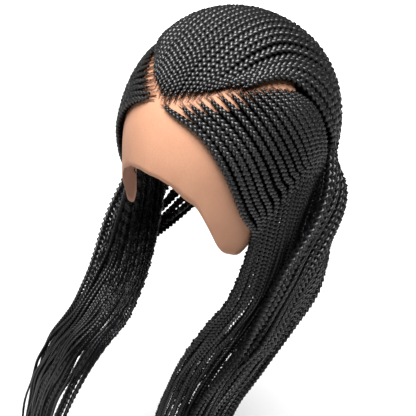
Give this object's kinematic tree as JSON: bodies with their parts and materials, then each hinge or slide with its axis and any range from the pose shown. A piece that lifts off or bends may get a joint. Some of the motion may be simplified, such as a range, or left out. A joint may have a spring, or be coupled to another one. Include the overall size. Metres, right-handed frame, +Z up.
{
  "type": "braid wig",
  "caption": "Braided wig on a fine lace cap: cornrows sewn round a V-shaped parting run into long, slim three-strand braids drawn forward in two bundles.",
  "frame": {"origin": "inside of the cap at the top of the crown, where it rests on the head", "axes": "+X to the wearer's left, -Y to the wearer's front, +Z up"},
  "size_m": [0.261, 0.2409, 0.5681],
  "materials": {
    "lace": "matte, fine open net",
    "braids": "satin synthetic hair fibre"
  },
  "bodies": {
    "root": {"lace_cap": "lace", "centre_cornrows": "braids", "left_cornrows": "braids", "right_cornrows": "braids", "left_front_locks": "braids", "right_front_locks": "braids", "left_back_locks": "braids", "right_back_locks": "braids"}
  },
  "joints": []
}
